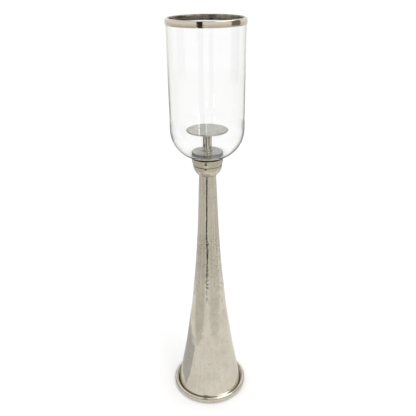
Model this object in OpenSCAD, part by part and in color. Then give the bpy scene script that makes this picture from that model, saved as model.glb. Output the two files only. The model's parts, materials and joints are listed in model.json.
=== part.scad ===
// Hurricane candle lantern, floor standing: a clear glass shade with a metal rim on a tall
// trumpet-shaped column. The candle holder inside the shade screws down through the hole in
// the glass and clamps the shade onto the collar of the column.
// Origin: middle of the underside of the foot, on the floor. +Z is up. All sizes in mm.

/* [Whole lantern] */
// Height from the floor to the top of the rim
overall_h = 1000; // [940:5:1060]
// Height of the top of the column's neck
neck_top_z = 642; // [600:1:680]

/* [Foot] */
// Outer diameter of the ring foot
foot_d = 201; // [198:1:230]
// Height of the top of the foot's bead
foot_h = 16.5; // [15.5:0.5:20]
// Thickness of the felt pad under the foot
pad_t = 1.5; // [1:0.5:2]
// Height of the cast-iron ballast above the floor
weight_top_z = 32; // [24:1:36]

/* [Column] */
// Diameter of the column where it stands in the foot
column_foot_d = 173; // [168:1:174]
// How far the flared lip at the column's foot stands out
column_lip = 3.7; // [3:0.1:4]
// Diameter of the column at its neck
neck_d = 41; // [38:1:44]
// Wall thickness of the hollow casting
column_wall = 4; // [3:0.5:5]
// Thickness of the web that closes the top of the casting
column_web = 14; // [8:1:20]

/* [Collar] */
// Diameter of the bowl where it meets the ring
bowl_d = 70; // [69:0.5:71]
// Outer diameter of the ring's lip
lip_d = 78; // [77:0.5:79]

/* [Glass shade] */
// Outer diameter of the glass at the bottom of its straight wall
glass_d = 173.2; // [172:0.2:176]
// How much wider the glass is at its top than at the bottom of its wall
glass_flare = 1.2; // [0:0.2:1.6]
// Thickness of the glass
glass_t = 3.2; // [2.8:0.2:3.6]
// Diameter of the hole in the bottom of the glass
glass_hole_d = 36; // [30:1:44]

/* [Candle holder] */
// Diameter of the candle plate
plate_d = 97; // [85:1:110]
// Thickness of the candle plate
plate_t = 3.3; // [2:0.1:5]
// Height of the top of the candle plate above the clamp disc
plate_rise = 53.8; // [45:0.2:110]
// Outer diameter of the stem tube
stem_d = 21; // [20:1:26]
// Diameter of the clamp disc
clamp_d = 75; // [73:1:77]

/* [Threaded parts] */
// Thread diameter of the tie rod and of the holder's stud
thread_d = 10; // [8, 10]
// How far the stud reaches into the coupling nut
thread_engagement = 17; // [12:1:17]

/* [Hidden] */

$fn = 96;
small_fn = 48;

// Gaps: a turning or sliding fit, a clearance hole, and the gap kept between glass and gaskets.
running_gap = 0.05;
hole_gap = 0.5;
glass_gap = 0.3;
// Interference of a pressed bush and of a tightened thread
press = 0.02;

thread_r = thread_d / 2;
thread_bite_r = thread_r - press;
clear_r = thread_r + hole_gap;

// Foot: a ring with a ledge inside it. The column stands on the ledge, and the ballast is
// pulled up against its underside.
foot_r = foot_d / 2;
column_foot_r = column_foot_d / 2;
ledge_bottom_z = 8;
ledge_top_z = 11;
ledge_r = 80;
recess_r = foot_r - 12;
groove_w = 2.2;
groove_r = column_foot_r + column_lip + groove_w;
bead_z = foot_h - 3;
foot_edge = 1;
pad_r = foot_r - 3.5;

// Ballast: a disc under the ledge with a boss inside the column, and a pocket for the nut.
weight_bottom_z = pad_t + 0.5;
weight_disc_r = recess_r - 1;
weight_boss_r = ledge_r - 6;
pocket_r = 15;
pocket_top_z = 15;
washer_r = thread_d;
washer_t = 2;
lock_washer_r = thread_d * 0.9;
lock_washer_t = 2.2;
nut_flats = thread_d == 8 ? 13 : 17;
nut_h = thread_d * 0.8;
nut_edge = 1.2;
lock_washer_z = pocket_top_z - washer_t - lock_washer_t;
rod_bottom_z = weight_bottom_z + 0.2;

// Column: a flare between the foot and the neck, drawn as one Bezier curve.
flare_z = 15;
lip_edge_h = 1;
fillet_steps = 8;
neck_r = neck_d / 2;
flare_pull_r = [27, 26.5];
flare_pull_z = [flare_z + (neck_top_z - flare_z) * 0.486, flare_z + (neck_top_z - flare_z) * 0.79];
flare_steps = 40;

// Collar: a cast bowl with a turned ring on top, held by a washer and a long coupling nut.
bowl_h = 25;
bowl_top_z = neck_top_z + bowl_h;
bowl_top_r = bowl_d / 2;
bowl_arc_r = 29.8;
bowl_wall = 3;
bowl_floor_z = neck_top_z + 6;
spigot_r = bowl_top_r - 3.1;
spigot_wall = 2;
spigot_h = 5;
coupling_z = bowl_floor_z + washer_t;
coupling_h = 29;
coupling_top_z = coupling_z + coupling_h;
rod_top_z = coupling_top_z - thread_engagement - 1;
lip_r = lip_d / 2;
seat_r = 36.8;
seat_in_r = spigot_r - spigot_wall + 0.3;
seat_z = neck_top_z + 38;
lip_top_z = neck_top_z + 43.9;

// Glass: a shallow dome, a rounder shoulder and a nearly straight wall. Seen in section they
// are two arcs that share a tangent, and a line.
glass_r = glass_d / 2;
glass_hole_r = glass_hole_d / 2;
dome_arc_r = 101;
shoulder_arc_r = 70;
dome_pole_z = neck_top_z + 37.5;
dome_centre_z = dome_pole_z + dome_arc_r;
shoulder_r = glass_r - shoulder_arc_r;
shoulder_z = dome_centre_z - sqrt(pow(dome_arc_r - shoulder_arc_r, 2) - pow(shoulder_r, 2));
tangent_a = atan2(shoulder_z - dome_centre_z, shoulder_r);
dome_steps = 10;
shoulder_steps = 14;
glass_top_z = overall_h - 6;

// Rim: a rolled sheet channel over the glass, bedded on a soft seal.
rim_sheet = 0.8;
rim_out_r = glass_r + glass_flare / 2 + 1.3;
rim_width = 8;
rim_crest_h = 1.8;
rim_mid_r = rim_out_r - rim_width / 2;
rim_in_r = rim_out_r - rim_width;
rim_arc_z = overall_h - rim_crest_h;
rim_bottom_z = overall_h - 14.3;
rim_lip_z = overall_h - 9.5;

// Candle holder, stacked on the glass: gasket, clamp disc, stem tube and plate.
clamp_r = clamp_d / 2;
clamp_face_r = clamp_r - 3.5;
clamp_z = neck_top_z + 50.2;
clamp_top_z = neck_top_z + 57.5;
clamp_edge_h = 3.3;
gasket_in_r = 20;
gasket_out_r = clamp_r - 1;
plate_r = plate_d / 2;
plate_top_z = clamp_top_z + plate_rise;
plate_z = plate_top_z - plate_t;
plate_edge = 0.8;
stem_r = stem_d / 2;
stem_in_r = stem_r - 2.5;
insert_z = clamp_top_z + 0.5;
insert_h = 18;
stud_bottom_z = coupling_top_z - thread_engagement;
stud_top_z = insert_z + insert_h - 2;

nickel = [0.76, 0.73, 0.67];
dull_aluminium = [0.66, 0.66, 0.65];
zinc = [0.62, 0.62, 0.58];
iron = [0.24, 0.24, 0.25];
black_rubber = [0.12, 0.12, 0.12];
clear_glass = [0.86, 0.92, 0.92, 0.35];
felt = [0.15, 0.16, 0.15];

// Points of an arc or of half an ellipse in section, from one angle to another.
function arc(r, z, size_r, size_z, from_a, to_a, steps) =
    [for (i = [0:steps])
        let (a = from_a + (to_a - from_a) * i / steps)
        [r + size_r * cos(a), z + size_z * sin(a)]];

function reversed(points) = [for (i = [len(points) - 1:-1:0]) points[i]];

// Height of the dome's surface at a radius, for the dome's own arc or one parallel to it.
function dome_z(r, arc_r) = dome_centre_z - sqrt(pow(arc_r, 2) - pow(r, 2));

// Radius of the outside of the glass wall at a height.
function wall_r(z) =
    glass_r + glass_flare / 2 * (z - shoulder_z) / (glass_top_z - shoulder_z);

// One point of the column's flare, t running from 0 at the foot to 1 at the neck.
function flare_point(t) =
    let (s = 1 - t)
    [
        s * s * s * column_foot_r + 3 * s * s * t * flare_pull_r[0]
            + 3 * s * t * t * flare_pull_r[1] + t * t * t * neck_r,
        s * s * s * flare_z + 3 * s * s * t * flare_pull_z[0]
            + 3 * s * t * t * flare_pull_z[1] + t * t * t * neck_top_z
    ];

flare = [for (i = [0:flare_steps]) flare_point(i / flare_steps)];

// One point of the fillet that runs out from the column to its lip.
function fillet_point(t) =
    let (
        s = 1 - t,
        edge = [column_foot_r + column_lip, ledge_top_z + lip_edge_h],
        corner = [column_foot_r - 1, ledge_top_z + lip_edge_h + 7]
    )
    s * s * edge + 2 * s * t * corner + t * t * flare_point(0.033);

// The glass in section, thinned by an inset: its outside at 0, its inside at glass_t.
function glass_line(inset) =
    concat(
        arc(0, dome_centre_z, dome_arc_r - inset, dome_arc_r - inset,
            -acos(glass_hole_r / (dome_arc_r - inset)), tangent_a, dome_steps),
        arc(shoulder_r, shoulder_z, shoulder_arc_r - inset, shoulder_arc_r - inset,
            tangent_a, 0, shoulder_steps),
        [[wall_r(glass_top_z) - inset, glass_top_z]]
    );

module turned(points, fn = $fn) {
    rotate_extrude($fn = fn)
        polygon(points);
}

// A flat ring that stands on a height.
module ring(outer_r, inner_r, z, h, fn = $fn) {
    translate([0, 0, z])
        difference() {
            cylinder(r = outer_r, h = h, $fn = fn);
            translate([0, 0, -1])
                cylinder(r = inner_r, h = h + 2, $fn = fn);
        }
}

// A hexagon nut blank with its corners turned off at both ends.
module hex_blank(z, h) {
    corner_r = nut_flats / 2 / cos(30);
    face_r = corner_r - nut_edge;
    intersection() {
        translate([0, 0, z])
            cylinder(r = corner_r, h = h, $fn = 6);
        turned([
            [0, z], [face_r, z], [corner_r, z + nut_edge / 2],
            [corner_r, z + h - nut_edge / 2], [face_r, z + h], [0, z + h]
        ], small_fn);
    }
}

module bore(r, z, h) {
    translate([0, 0, z])
        cylinder(r = r, h = h, $fn = small_fn);
}

module floor_pad() {
    color(felt)
        cylinder(r = pad_r, h = pad_t);
}

module base_weight() {
    chamfer = 2;
    color(iron)
        difference() {
            turned([
                [0, weight_bottom_z], [weight_disc_r, weight_bottom_z],
                [weight_disc_r, ledge_bottom_z], [weight_boss_r, ledge_bottom_z],
                [weight_boss_r, weight_top_z - chamfer], [weight_boss_r - chamfer, weight_top_z],
                [0, weight_top_z]
            ]);
            bore(pocket_r, weight_bottom_z - 1, pocket_top_z - weight_bottom_z + 1);
            bore(clear_r, weight_bottom_z, weight_top_z);
        }
}

module foot_ring() {
    bead_half = (foot_r - foot_edge - groove_r) / 2;
    color(nickel)
        turned(concat(
            [
                [recess_r, pad_t], [foot_r - 0.8, pad_t], [foot_r, pad_t + 0.8],
                [foot_r, bead_z - 0.6], [foot_r - 0.4, bead_z]
            ],
            arc(groove_r + bead_half, bead_z, bead_half, foot_h - bead_z, 0, 180, 12),
            [
                [groove_r, ledge_top_z], [ledge_r, ledge_top_z],
                [ledge_r, ledge_bottom_z], [recess_r, ledge_bottom_z]
            ]
        ));
}

module rod_nut() {
    color(zinc)
        difference() {
            hex_blank(lock_washer_z - nut_h, nut_h);
            bore(thread_bite_r, weight_bottom_z - 1, pocket_top_z);
        }
}

module rod_lock_washer() {
    slit = 1.5;
    color(zinc)
        difference() {
            ring(lock_washer_r, thread_r + 0.2, lock_washer_z, lock_washer_t, small_fn);
            rotate([0, 0, 35])
                translate([thread_r - 1, -slit / 2, lock_washer_z - 1])
                    cube([lock_washer_r, slit, lock_washer_t + 2]);
        }
}

module rod_washer() {
    color(zinc)
        ring(washer_r, thread_r + 0.25, pocket_top_z - washer_t, washer_t, small_fn);
}

module tie_rod() {
    end = 1;
    color(zinc)
        turned([
            [0, rod_bottom_z], [thread_r - end, rod_bottom_z], [thread_r, rod_bottom_z + end],
            [thread_r, rod_top_z - end], [thread_r - end, rod_top_z], [0, rod_top_z]
        ], small_fn);
}

module column() {
    web_z = neck_top_z - column_web;
    outside = concat(
        [[column_foot_r + column_lip, ledge_top_z]],
        [for (i = [0:fillet_steps]) fillet_point(i / fillet_steps)],
        [for (i = [2:flare_steps]) flare[i]]
    );
    inside = concat(
        [[column_foot_r - column_wall, ledge_top_z]],
        [for (p = flare) if (p[1] < web_z - 4) [p[0] - column_wall, p[1]]],
        [[neck_r - column_wall, web_z], [clear_r, web_z], [clear_r, neck_top_z]]
    );
    color(nickel)
        turned(concat(outside, reversed(inside)));
}

module collar_bowl() {
    arc_centre_r = bowl_top_r - bowl_arc_r;
    foot_a = asin(bowl_h / bowl_arc_r);
    floor_a = asin((bowl_top_z - bowl_floor_z) / (bowl_arc_r - bowl_wall));
    recess_z = bowl_top_z - spigot_h - 0.2;
    recess_a = asin((bowl_top_z - recess_z) / (bowl_arc_r - bowl_wall));
    color(nickel)
        turned(concat(
            [[clear_r, neck_top_z]],
            arc(arc_centre_r, bowl_top_z, bowl_arc_r, bowl_arc_r, -foot_a, 0, 12),
            [[spigot_r + 0.1, bowl_top_z], [spigot_r + 0.1, recess_z]],
            arc(arc_centre_r, bowl_top_z, bowl_arc_r - bowl_wall, bowl_arc_r - bowl_wall,
                -recess_a, -floor_a, 8),
            [[clear_r, bowl_floor_z]]
        ));
}

module collar_washer() {
    color(zinc)
        ring(washer_r, thread_r + 0.25, bowl_floor_z, washer_t, small_fn);
}

// The lower half of the long nut holds the tie rod, and the upper half takes the stud.
module coupling_nut() {
    color(zinc)
        difference() {
            hex_blank(coupling_z, coupling_h);
            bore(thread_bite_r, coupling_z - 1, coupling_h);
            bore(thread_r + running_gap, rod_top_z, coupling_h);
        }
}

module collar_ring() {
    groove = 0.6;
    waist_r = bowl_top_r + 2.5;
    color(nickel)
        turned([
            [spigot_r - spigot_wall, bowl_top_z - spigot_h], [spigot_r, bowl_top_z - spigot_h],
            [spigot_r, bowl_top_z], [bowl_top_r - groove, bowl_top_z],
            [bowl_top_r - groove, bowl_top_z + 0.5], [bowl_top_r + 0.3, bowl_top_z + 1.2],
            [waist_r - 0.6, bowl_top_z + 8], [waist_r, bowl_top_z + 13],
            [waist_r + 0.4, lip_top_z - 3], [lip_r - 0.3, lip_top_z - 2],
            [lip_r, lip_top_z - 1.2], [lip_r - 0.3, lip_top_z - 0.4], [lip_r - 0.9, lip_top_z],
            [seat_r, lip_top_z], [seat_r, seat_z], [seat_in_r, seat_z]
        ]);
}

// The gasket's top is shaped to the dome of the glass.
module seat_gasket() {
    inner_r = seat_in_r + 0.4;
    outer_r = seat_r - 0.2;
    color(black_rubber)
        turned(concat(
            [[inner_r, seat_z], [outer_r, seat_z]],
            [for (i = [4:-1:0])
                let (r = inner_r + (outer_r - inner_r) * i / 4)
                [r, dome_z(r, dome_arc_r + glass_gap)]]
        ));
}

module glass_shade() {
    color(clear_glass)
        turned(concat(glass_line(0), reversed(glass_line(glass_t))));
}

module rim_seal() {
    bottom_z = rim_bottom_z + 1;
    inner_z = rim_lip_z + 0.5;
    color(black_rubber)
        turned([
            [wall_r(bottom_z), bottom_z], [rim_out_r - rim_sheet, bottom_z],
            [rim_out_r - rim_sheet, rim_arc_z], [rim_in_r + rim_sheet, rim_arc_z],
            [rim_in_r + rim_sheet, inner_z], [wall_r(inner_z) - glass_t, inner_z],
            [wall_r(glass_top_z) - glass_t, glass_top_z], [wall_r(glass_top_z), glass_top_z]
        ]);
}

module rim_band() {
    outer_half = rim_width / 2;
    inner_half = outer_half - rim_sheet;
    color(nickel)
        turned(concat(
            [[rim_out_r, rim_bottom_z]],
            arc(rim_mid_r, rim_arc_z, outer_half, rim_crest_h, 0, 180, 16),
            [[rim_in_r, rim_lip_z], [rim_in_r + rim_sheet, rim_lip_z]],
            arc(rim_mid_r, rim_arc_z, inner_half, rim_crest_h - rim_sheet, 180, 0, 16),
            [[rim_out_r - rim_sheet, rim_bottom_z]]
        ));
}

// The gasket's underside is shaped to the inside of the dome.
module clamp_gasket() {
    color(black_rubber)
        turned(concat(
            [for (i = [0:4])
                let (r = gasket_in_r + (gasket_out_r - gasket_in_r) * i / 4)
                [r, dome_z(r, dome_arc_r - glass_t - glass_gap)]],
            [[gasket_out_r, clamp_z], [gasket_in_r, clamp_z]]
        ));
}

module clamp_disc() {
    edge_z = clamp_z + clamp_edge_h;
    fit_r = thread_r + running_gap;
    color(dull_aluminium)
        turned(concat(
            [[fit_r, clamp_z], [clamp_r - 0.6, clamp_z], [clamp_r, clamp_z + 0.6]],
            arc(clamp_face_r, edge_z, clamp_r - clamp_face_r, clamp_top_z - edge_z, 0, 90, 8),
            [[fit_r, clamp_top_z]]
        ));
}

module holder_stud() {
    end = 1;
    color(zinc)
        turned([
            [0, stud_bottom_z], [thread_r - end, stud_bottom_z], [thread_r, stud_bottom_z + end],
            [thread_r, stud_top_z - end], [thread_r - end, stud_top_z], [0, stud_top_z]
        ], small_fn);
}

module stem_insert() {
    color(zinc)
        ring(stem_in_r + press, thread_bite_r, insert_z, insert_h, small_fn);
}

module stem_tube() {
    color(nickel)
        ring(stem_r, stem_in_r, clamp_top_z, plate_z - clamp_top_z);
}

module candle_plate() {
    color(nickel)
        turned([
            [0, plate_z], [plate_r - plate_edge, plate_z], [plate_r, plate_z + plate_edge],
            [plate_r, plate_top_z - plate_edge], [plate_r - plate_edge, plate_top_z],
            [0, plate_top_z]
        ]);
}

floor_pad();
base_weight();
foot_ring();
rod_nut();
rod_lock_washer();
rod_washer();
tie_rod();
column();
collar_bowl();
collar_washer();
coupling_nut();
collar_ring();
seat_gasket();
glass_shade();
rim_seal();
rim_band();
clamp_gasket();
clamp_disc();
holder_stud();
stem_insert();
stem_tube();
candle_plate();
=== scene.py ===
import json
import math

import bmesh
import bpy
import numpy as np
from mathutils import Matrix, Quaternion, Vector


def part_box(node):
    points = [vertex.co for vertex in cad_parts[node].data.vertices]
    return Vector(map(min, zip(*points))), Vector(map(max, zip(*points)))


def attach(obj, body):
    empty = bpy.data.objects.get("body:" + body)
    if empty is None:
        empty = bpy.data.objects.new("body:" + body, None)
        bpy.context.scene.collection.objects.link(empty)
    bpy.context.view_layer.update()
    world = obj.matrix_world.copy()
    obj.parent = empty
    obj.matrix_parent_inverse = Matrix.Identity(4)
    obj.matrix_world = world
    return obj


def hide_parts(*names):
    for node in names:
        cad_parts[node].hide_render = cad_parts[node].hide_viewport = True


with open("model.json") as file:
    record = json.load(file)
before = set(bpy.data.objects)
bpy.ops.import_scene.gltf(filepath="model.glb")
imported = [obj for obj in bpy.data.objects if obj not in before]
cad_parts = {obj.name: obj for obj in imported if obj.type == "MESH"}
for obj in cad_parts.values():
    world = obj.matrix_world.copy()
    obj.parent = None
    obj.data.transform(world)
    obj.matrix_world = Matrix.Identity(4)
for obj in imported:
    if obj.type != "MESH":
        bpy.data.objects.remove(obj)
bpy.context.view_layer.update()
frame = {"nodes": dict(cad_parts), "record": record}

bl_info = {
    "name": "Hurricane candle lantern",
    "version": (1, 0, 0),
    "blender": (4, 5, 0),
    "location": "View3D > Sidebar > Lantern",
    "description": "Builds the lantern's visible pieces round its packed CAD frame",
    "category": "Object",
}

MM = 0.001
TURN = 2 * math.pi

# Rings of a turned node closer together than this are one ring.
RING_GAP = 0.005 * MM
# An outline turns a corner where it bends by more than this.
CORNER_ANGLE = math.radians(24)
# Points that round one corner off, and the share of a short edge that a corner may take.
CORNER_POINTS = (0.25, 0.5, 0.75)
CORNER_SHARE = 0.4
WARM = (1.0, 0.97, 0.90)
WHITE = (1, 1, 1)
# How strongly a metre of the glass takes light away.
GLASS_DENSITY = 24.0


# ---------------------------------------------------------------- settings


class LanternShape(bpy.types.PropertyGroup):
    """How finely the pieces are turned, and how uneven the castings are."""

    segments: bpy.props.IntProperty(
        name="Segments", description="Faces round each large piece", default=256, min=48
    )
    wave: bpy.props.FloatProperty(
        name="Casting wave", description="Height of the slow unevenness left by hand polishing",
        default=0.22 * MM, unit="LENGTH", subtype="DISTANCE",
    )
    dent: bpy.props.FloatProperty(
        name="Dent depth", description="Depth of the small hollows in the column",
        default=0.16 * MM, unit="LENGTH", subtype="DISTANCE",
    )
    glass_wave: bpy.props.FloatProperty(
        name="Glass wave", description="Unevenness of the blown glass",
        default=0.12 * MM, unit="LENGTH", subtype="DISTANCE",
    )
    thread_pitch: bpy.props.FloatProperty(
        name="Thread pitch", description="Pitch of the M10 threads",
        default=1.5 * MM, unit="LENGTH", subtype="DISTANCE",
    )


class LanternFinish(bpy.types.PropertyGroup):
    """Colours of the lantern's finishes."""

    nickel: bpy.props.FloatVectorProperty(
        name="Nickel", description="Warm nickel plating on the castings",
        default=(0.735, 0.70, 0.62), subtype="COLOR", size=3,
    )
    nickel_dark: bpy.props.FloatVectorProperty(
        name="Tarnish", description="Nickel plating where it has dulled",
        default=(0.50, 0.455, 0.375), subtype="COLOR", size=3,
    )
    rim_nickel: bpy.props.FloatVectorProperty(
        name="Rim nickel", description="Brighter plating on the rolled rim",
        default=(0.65, 0.585, 0.50), subtype="COLOR", size=3,
    )
    satin: bpy.props.FloatVectorProperty(
        name="Satin metal", description="Turned, unpolished metal of the plate and the clamp disc",
        default=(0.56, 0.558, 0.54), subtype="COLOR", size=3,
    )
    zinc: bpy.props.FloatVectorProperty(
        name="Zinc", description="Zinc plating on the fasteners",
        default=(0.60, 0.59, 0.55), subtype="COLOR", size=3,
    )
    glass: bpy.props.FloatVectorProperty(
        name="Glass", description="Tint of the clear glass",
        default=(0.996, 0.998, 0.998), subtype="COLOR", size=3,
    )
    rubber: bpy.props.FloatVectorProperty(
        name="Rubber", description="Black rubber of the gaskets",
        default=(0.018, 0.018, 0.017), subtype="COLOR", size=3,
    )
    felt: bpy.props.FloatVectorProperty(
        name="Felt", description="Dark felt under the foot",
        default=(0.022, 0.026, 0.022), subtype="COLOR", size=3,
    )


class LanternStage(bpy.types.PropertyGroup):
    """The floor, the light and the camera."""

    camera_distance: bpy.props.FloatProperty(
        name="Camera distance", description="Distance from the camera to the lantern's axis",
        default=1.182, unit="LENGTH", subtype="DISTANCE",
    )
    camera_height: bpy.props.FloatProperty(
        name="Camera height", description="Height of the camera over the floor",
        default=1.099, unit="LENGTH", subtype="DISTANCE",
    )
    camera_pitch: bpy.props.FloatProperty(
        name="Camera pitch", description="How far the camera looks down",
        default=math.radians(24.9), unit="ROTATION", subtype="ANGLE",
    )
    camera_roll: bpy.props.FloatProperty(
        name="Camera roll", description="How far the camera is off level",
        default=math.radians(-0.6), unit="ROTATION", subtype="ANGLE",
    )
    lens: bpy.props.FloatProperty(
        name="Lens", description="Focal length in millimetres on a 36 mm sensor", default=45.15
    )
    floor_colour: bpy.props.FloatVectorProperty(
        name="Floor", description="Colour of the pale floor",
        default=(0.93, 0.93, 0.93), subtype="COLOR", size=3,
    )
    sky: bpy.props.FloatProperty(
        name="Sky", description="Brightness of the even white light", default=1.12, min=0
    )
    room: bpy.props.FloatProperty(
        name="Room", description="Brightness of the room as the metal mirrors it",
        default=1.0, min=0,
    )


GROUPS = {
    "lantern_shape": LanternShape,
    "lantern_finish": LanternFinish,
    "lantern_stage": LanternStage,
}


# ---------------------------------------------------------------- outlines and turning


def section(node):
    """A turned CAD node's outline as (radius, height) rows, and whether it closes on itself.

    Every ring of the node's mesh is one point of the outline. A node with no bore ends on
    its axis, at the bottom and at the top.
    """
    mesh = frame["nodes"][node].data
    places = np.array([v.co for v in mesh.vertices])
    flat = np.column_stack([np.hypot(places[:, 0], places[:, 1]), places[:, 2]])
    spots, spot_of = np.unique(np.round(flat, 6), axis=0, return_inverse=True)
    rings = []
    ring_at = []
    for spot in spots:
        near = [i for i, ring in enumerate(rings) if np.abs(ring - spot).max() < RING_GAP]
        if not near:
            near = [len(rings)]
            rings.append(spot)
        ring_at.append(near[0])
    ring_of = np.array(ring_at)[spot_of.ravel()]
    beside = {i: set() for i in range(len(rings))}
    for edge in mesh.edges:
        a, b = (ring_of[v] for v in edge.vertices)
        if a != b:
            beside[a].add(b)
            beside[b].add(a)
    off_axis = [i for i in beside if rings[i][0] > RING_GAP]
    ends = [i for i in off_axis if len([j for j in beside[i] if j in off_axis]) < 2]
    closed = not ends
    start = min(ends or off_axis, key=lambda i: (rings[i][1], rings[i][0]))
    walk = [start]
    while True:
        onward = [j for j in beside[walk[-1]] if j in off_axis and j not in walk]
        if not onward:
            break
        walk.append(max(onward, key=lambda j: rings[j][0]) if len(walk) == 1 else onward[0])
    if len(walk) != len(off_axis):
        raise RuntimeError(f"{node} isn't a turned piece with one outline")
    outline = np.array([rings[i] for i in walk])
    if not closed:
        outline = np.vstack([[0, outline[0][1]], outline, [0, outline[-1][1]]])
    return outline, closed


def along(points, places):
    """Points at the given distances along a smooth curve through points."""
    if len(points) == 2:
        share = places / np.linalg.norm(points[1] - points[0])
        return points[0] + share[:, None] * (points[1] - points[0])
    gaps = np.linalg.norm(np.diff(points, axis=0), axis=1)
    knots = np.concatenate([[0], np.cumsum(gaps)])
    slopes = np.gradient(points, knots, axis=0, edge_order=2)
    i = np.clip(np.searchsorted(knots, places, side="right") - 1, 0, len(gaps) - 1)
    gap = gaps[i][:, None]
    t = ((places - knots[i]) / gaps[i])[:, None]
    return (
        (2 * t**3 - 3 * t**2 + 1) * points[i]
        + (t**3 - 2 * t**2 + t) * gap * slopes[i]
        + (3 * t**2 - 2 * t**3) * points[i + 1]
        + (t**3 - t**2) * gap * slopes[i + 1]
    )


def stops(length, cut, step, points):
    """Distances along one run of an outline, closer together at its ends and in fine zones."""
    first, last = cut, length - cut
    support = min(0.3 * MM, (last - first) / 4)
    places = [first, first + support]
    while places[-1] < last - support:
        here = along(points, np.array([places[-1]]))[0]
        places.append(places[-1] + step(*here))
    while places[-1] > last - 1.5 * support:
        places.pop()
    return np.array(places + [last - support, last])


def softened(outline, closed, corner, step):
    """An outline with its corners rounded off and its curved runs drawn smoothly.

    corner is how far back each corner is cut, and step(radius, height) the distance
    between points.
    """
    count = len(outline)
    before = outline - np.roll(outline, 1, axis=0)
    after = np.roll(outline, -1, axis=0) - outline
    cross = before[:, 0] * after[:, 1] - before[:, 1] * after[:, 0]
    turn = np.abs(np.arctan2(cross, (before * after).sum(axis=1)))
    corners = [i for i in range(count) if turn[i] > CORNER_ANGLE]
    if closed:
        pairs = list(zip(corners, corners[1:] + [corners[0] + count]))
    else:
        corners = sorted({0, count - 1} | set(corners))
        pairs = list(zip(corners, corners[1:]))
    pieces = []
    for a, b in pairs:
        run = outline[[i % count for i in range(a, b + 1)]]
        length = np.linalg.norm(np.diff(run, axis=0), axis=1).sum()
        cut = min(corner, length * CORNER_SHARE)
        pieces.append((run, along(run, stops(length, cut, step, run))))
    rows = []
    for i, (run, drawn) in enumerate(pieces):
        on_axis = not closed and i == 0
        rows.extend(([run[0]] if on_axis else []) + list(drawn[1:] if on_axis else drawn))
        if i + 1 < len(pieces) or closed:
            following = pieces[(i + 1) % len(pieces)][1][0]
            tip = run[-1]
            for t in CORNER_POINTS:
                rows.append((1 - t) ** 2 * drawn[-1] + 2 * t * (1 - t) * tip + t**2 * following)
    if not closed:
        rows[-1] = outline[-1]
    return np.array(rows)


def even(step):
    """The same distance between points all along an outline."""
    return lambda radius, height: step


def flat_relief(theta, radius, height):
    """No unevenness."""
    return np.zeros(np.broadcast(theta, radius, height).shape)


def mesh_object(name, verts, faces):
    """A new mesh object in the scene."""
    mesh = bpy.data.meshes.new(name)
    mesh.from_pydata(verts, [], faces)
    piece = bpy.data.objects.new(name, mesh)
    bpy.context.scene.collection.objects.link(piece)
    return piece


def turned(name, outline, closed, segments, relief=flat_relief):
    """Turns an outline about Z into a mesh object. relief raises the surface in metres."""
    ahead = np.roll(outline, -1, axis=0)
    behind = np.roll(outline, 1, axis=0)
    if not closed:
        ahead[-1] = outline[-1]
        behind[0] = outline[0]
    tangent = ahead - behind
    tangent /= np.maximum(np.linalg.norm(tangent, axis=1), 1e-9)[:, None]
    area = (outline[:, 0] * ahead[:, 1] - ahead[:, 0] * outline[:, 1]).sum()
    side = 1 if area > 0 else -1
    normal = np.column_stack([tangent[:, 1], -tangent[:, 0]]) * side
    theta = np.arange(segments) * TURN / segments
    radius = outline[:, :1]
    height = outline[:, 1:]
    rise = relief(theta[None, :], radius, height)
    ring_r = radius + rise * normal[:, :1]
    ring_z = height + rise * normal[:, 1:]
    verts = np.stack([ring_r * np.cos(theta), ring_r * np.sin(theta), ring_z + 0 * theta], -1)
    rows = len(outline)
    index = np.arange(rows * segments).reshape(rows, segments)
    low = index if closed else index[:-1]
    high = np.roll(index, -1, axis=0) if closed else index[1:]
    faces = np.stack([low, np.roll(low, -1, axis=1), np.roll(high, -1, axis=1), high], -1)
    piece = mesh_object(name, verts.reshape(-1, 3).tolist(), faces.reshape(-1, 4).tolist())
    shell = bmesh.new()
    shell.from_mesh(piece.data)
    if not closed:
        bmesh.ops.remove_doubles(shell, verts=shell.verts, dist=RING_GAP / 5)
    bmesh.ops.recalc_face_normals(shell, faces=shell.faces)
    shell.to_mesh(piece.data)
    shell.free()
    piece.data.shade_smooth()
    return piece


# ---------------------------------------------------------------- unevenness


def waves(seed, depth, around, along_z, count=14):
    """A slow unevenness made of seeded waves. along_z is the most waves in a metre."""
    rng = np.random.default_rng(seed)
    turns = rng.integers(1, around + 1, count)
    rises = rng.uniform(-along_z, along_z, count)
    phases = rng.uniform(0, TURN, count)
    sizes = rng.uniform(0.4, 1.0, count)

    def relief(theta, radius, height):
        total = 0
        for turn, rise, phase, size in zip(turns, rises, phases, sizes):
            total = total + size * np.sin(turn * theta + TURN * rise * height + phase)
        return depth * total / math.sqrt((sizes**2).sum())

    return relief


def dents(seed, depth, count, low, high, sizes):
    """Shallow round hollows scattered over a height range."""
    rng = np.random.default_rng(seed)
    spots = [
        (rng.uniform(0, TURN), rng.uniform(low, high), rng.uniform(*sizes), rng.uniform(0.3, 1))
        for _ in range(count)
    ]

    def relief(theta, radius, height):
        total = np.zeros(np.broadcast(theta, radius, height).shape)
        for angle, z, size, deep in spots:
            near = np.abs(height[:, 0] - z) < 4 * size
            across = (np.mod(theta - angle + math.pi, TURN) - math.pi) * radius[near]
            away = across**2 + (height[near] - z) ** 2
            total[near] -= depth * deep * np.exp(-away / size**2)
        return total

    return relief


def thread(pitch, radius, spans):
    """A right-handed thread cut into a rod between the given heights."""
    depth = 0.6 * pitch
    fade = pitch

    def relief(theta, ring, height):
        phase = np.mod(height / pitch - theta / TURN, 1)
        ridge = np.clip(np.abs(2 * phase - 1) * 1.15, 0, 1)
        cut = 0
        for low, high in spans:
            inside = np.clip((height - low) / fade, 0, 1) * np.clip((high - height) / fade, 0, 1)
            cut = cut + inside * (ring > radius - 1.2 * MM)
        return -depth * (1 - ridge) * cut

    return relief


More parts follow.
